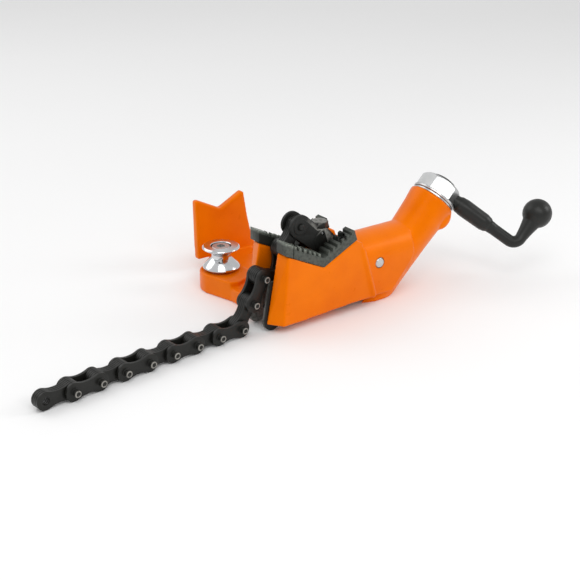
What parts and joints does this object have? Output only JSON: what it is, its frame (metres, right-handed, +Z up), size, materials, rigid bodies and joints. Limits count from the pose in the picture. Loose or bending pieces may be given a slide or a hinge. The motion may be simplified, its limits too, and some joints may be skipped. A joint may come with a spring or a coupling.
{
  "type": "bench chain vise",
  "caption": "Bench chain vise for pipe: serrated V jaws, clamping chain drawn by an angled top screw with crank handle, pipe rest and bending roller on the base.",
  "frame": {"origin": "on the bench face, under the root of the V jaws, midway between the two cheeks", "axes": "+Z up; +X from the loose end of the chain to the crank; a clamped pipe lies along Y"},
  "size_m": [0.5566, 0.2292, 0.1101],
  "materials": {
    "orange_enamel": "glossy orange enamel on cast iron",
    "jaw_steel": "dark phosphated hardened steel",
    "black_steel": "black oxide steel, lightly oiled",
    "chain_steel": "black oxide chain plates and pins",
    "bright_steel": "machined bright steel",
    "chrome": "turned and plated",
    "bronze": "machined bearing bronze"
  },
  "bodies": {
    "base": {"body_casting": "orange_enamel", "front_jaw": "jaw_steel", "front_jaw_screw_left": "black_steel", "front_jaw_screw_right": "black_steel", "rear_jaw": "jaw_steel", "rear_jaw_screw_left": "black_steel", "rear_jaw_screw_right": "black_steel", "front_chain_hook": "black_steel", "front_chain_hook_screw_upper": "black_steel", "front_chain_hook_screw_lower": "black_steel", "rear_chain_hook": "black_steel", "rear_chain_hook_screw_upper": "black_steel", "rear_chain_hook_screw_lower": "black_steel", "guide_pin": "bright_steel", "barrel_bush": "bronze", "thrust_washer": "bright_steel", "roller_washer": "bright_steel", "roller_bolt": "bright_steel"},
    "crank": {"hub_nut": "bright_steel", "hub_cap": "black_steel", "retaining_ring": "black_steel", "crank_handle": "black_steel", "crank_lock_pin": "bright_steel"},
    "draw_screw": {"draw_screw": "bright_steel", "screw_clevis_pin": "bright_steel"},
    "rocker": {"rocker": "black_steel"},
    "draw_bar": {"draw_bar": "black_steel", "draw_bar_pin": "bright_steel", "end_block": "black_steel", "end_block_bolt": "black_steel", "chain_anchor_pin": "black_steel"},
    "bend_roller": {"bend_roller": "chrome"},
    "chain_link_01": {"chain_link_01": "chain_steel"},
    "chain_link_02": {"chain_link_02": "chain_steel"},
    "chain_link_03": {"chain_link_03": "chain_steel"},
    "chain_link_04": {"chain_link_04": "chain_steel"},
    "chain_link_05": {"chain_link_05": "chain_steel"},
    "chain_link_06": {"chain_link_06": "chain_steel"},
    "chain_link_07": {"chain_link_07": "chain_steel"},
    "chain_link_08": {"chain_link_08": "chain_steel"},
    "chain_link_09": {"chain_link_09": "chain_steel"},
    "chain_link_10": {"chain_link_10": "chain_steel"},
    "chain_link_11": {"chain_link_11": "chain_steel"},
    "chain_link_12": {"chain_link_12": "chain_steel"},
    "chain_link_13": {"chain_link_13": "chain_steel"}
  },
  "joints": [
    {"name": "crank_turn", "type": "hinge", "parent": "base", "child": "crank", "pos_m": [0.159, 0, 0.0822], "axis": [0.7071, 0, 0.7071], "range_deg": [0, 1980]},
    {"name": "draw_screw_travel", "type": "slide", "parent": "base", "child": "draw_screw", "axis": [0.7071, 0, 0.7071], "range_m": [-0.02201, 0]},
    {"name": "rocker_swing", "type": "hinge", "parent": "base", "child": "rocker", "pos_m": [0.071, 0, 0.0425], "axis": [0, -1, 0], "range_deg": [-35.75, 0]},
    {"name": "draw_bar_pivot", "type": "hinge", "parent": "rocker", "child": "draw_bar", "pos_m": [0.05881, 0, 0.01943], "axis": [0, -1, 0], "range_deg": [0, 35.75]},
    {"name": "chain_pivot_01", "type": "hinge", "parent": "draw_bar", "child": "chain_link_01", "pos_m": [-0.0125, 0, 0.0925], "axis": [0, 1, 0], "range_deg": [0, 60]},
    {"name": "chain_pivot_02", "type": "hinge", "parent": "chain_link_01", "child": "chain_link_02", "pos_m": [-0.02761, 0, 0.07208], "axis": [0, -1, 0], "range_deg": [-60, 0]},
    {"name": "chain_pivot_03", "type": "hinge", "parent": "chain_link_02", "child": "chain_link_03", "pos_m": [-0.02982, 0, 0.04678], "axis": [0, 1, 0], "range_deg": [0, 34]},
    {"name": "chain_pivot_04", "type": "hinge", "parent": "chain_link_03", "child": "chain_link_04", "pos_m": [-0.0547, -0.00061, 0.05184], "axis": [0.0488, -0.9988, 0], "range_deg": [-60, 5]},
    {"name": "chain_pivot_05", "type": "hinge", "parent": "chain_link_04", "child": "chain_link_05", "pos_m": [-0.06662, -0.00119, 0.02942], "axis": [-0.0488, 0.9988, 0], "range_deg": [-15, 60]},
    {"name": "chain_pivot_06", "type": "hinge", "parent": "chain_link_05", "child": "chain_link_06", "pos_m": [-0.08114, -0.00226, 0.00861], "axis": [0.0802, -0.9968, 0], "range_deg": [-70, 70]},
    {"name": "chain_pivot_07", "type": "hinge", "parent": "chain_link_06", "child": "chain_link_07", "pos_m": [-0.10646, -0.00429, 0.00861], "axis": [-0.0802, 0.9968, 0], "range_deg": [-70, 70]},
    {"name": "chain_pivot_08", "type": "hinge", "parent": "chain_link_07", "child": "chain_link_08", "pos_m": [-0.13177, -0.00651, 0.00861], "axis": [0.0941, -0.9956, 0], "range_deg": [-70, 70]},
    {"name": "chain_pivot_09", "type": "hinge", "parent": "chain_link_08", "child": "chain_link_09", "pos_m": [-0.15705, -0.0089, 0.00861], "axis": [-0.0941, 0.9956, 0], "range_deg": [-70, 70]},
    {"name": "chain_pivot_10", "type": "hinge", "parent": "chain_link_09", "child": "chain_link_10", "pos_m": [-0.18232, -0.01147, 0.00861], "axis": [0.108, -0.9942, 0], "range_deg": [-70, 70]},
    {"name": "chain_pivot_11", "type": "hinge", "parent": "chain_link_10", "child": "chain_link_11", "pos_m": [-0.20758, -0.01421, 0.00861], "axis": [-0.108, 0.9942, 0], "range_deg": [-70, 70]},
    {"name": "chain_pivot_12", "type": "hinge", "parent": "chain_link_11", "child": "chain_link_12", "pos_m": [-0.23281, -0.01713, 0.00861], "axis": [0.1219, -0.9925, 0], "range_deg": [-70, 70]},
    {"name": "chain_pivot_13", "type": "hinge", "parent": "chain_link_12", "child": "chain_link_13", "pos_m": [-0.25802, -0.02022, 0.00861], "axis": [-0.1219, 0.9925, 0], "range_deg": [-70, 70]},
    {"name": "roller_spin", "type": "hinge", "parent": "base", "child": "bend_roller", "pos_m": [-0.031, 0.1, 0.034], "axis": [0, 0, 1], "continuous": true}
  ],
  "couplings": [
    {"joint": "draw_screw_travel", "follows": "crank_turn", "m_per_rad": -0.00063662},
    {"joint": "rocker_swing", "follows": "crank_turn", "ratio": -0.018033},
    {"joint": "draw_bar_pivot", "follows": "crank_turn", "ratio": 0.018033}
  ]
}
